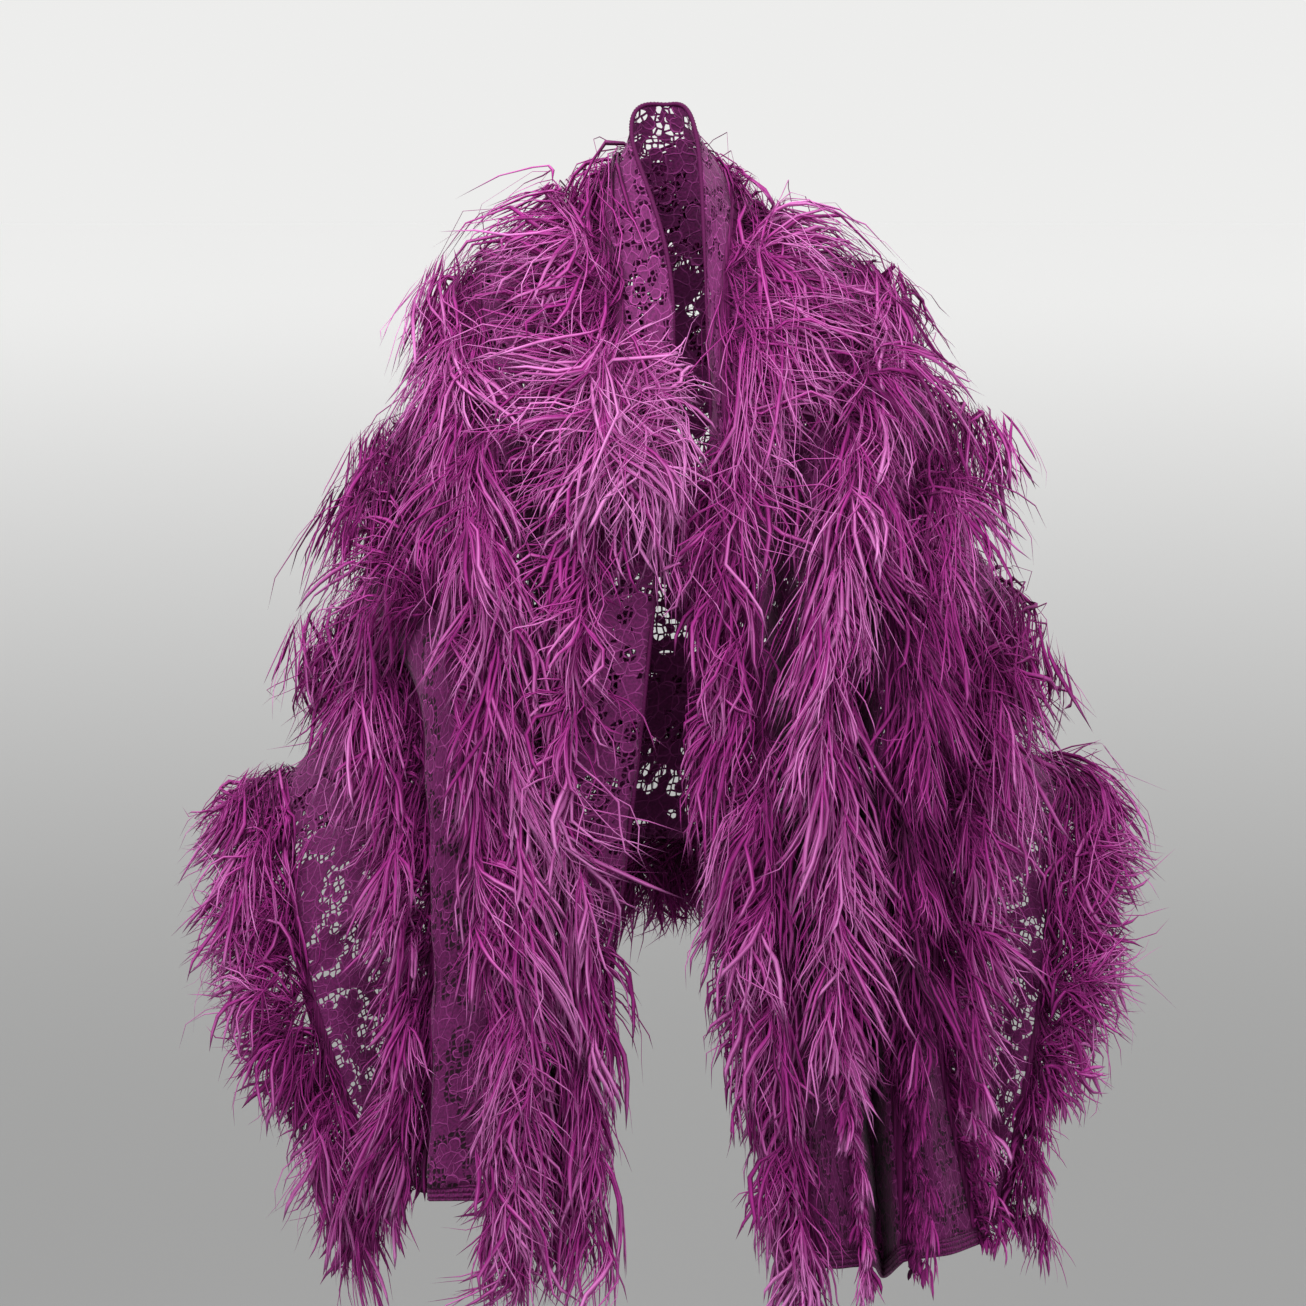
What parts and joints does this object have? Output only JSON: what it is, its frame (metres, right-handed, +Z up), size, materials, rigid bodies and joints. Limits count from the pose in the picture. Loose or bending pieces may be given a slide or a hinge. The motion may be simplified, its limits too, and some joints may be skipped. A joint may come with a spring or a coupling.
{
  "type": "feather shawl",
  "caption": "Lace stole with rows of long feather fringe, draped round the neck and over the shoulders with both ends hanging open in front.",
  "frame": {"origin": "on the neck axis, level with the top of the neck that the collar goes round", "axes": "+Z up, -Y towards the front opening, +X towards the right-hand side as seen from the front"},
  "size_m": [0.8637, 0.432, 1.0947],
  "materials": {
    "plum_lace": "corded floral lace, matt",
    "plum_hem": "dense corded lace hem",
    "plum_edge": "rolled and overlocked edge",
    "plum_feather": "dyed ostrich feather fringe"
  },
  "bodies": {
    "root": {"lace_panel": "plum_lace", "end_hem_left": "plum_hem", "end_hem_right": "plum_hem", "neck_edge": "plum_edge", "feather_row_1": "plum_feather", "feather_row_2": "plum_feather", "feather_row_3": "plum_feather", "feather_row_4": "plum_feather", "feather_row_5": "plum_feather"}
  },
  "joints": []
}
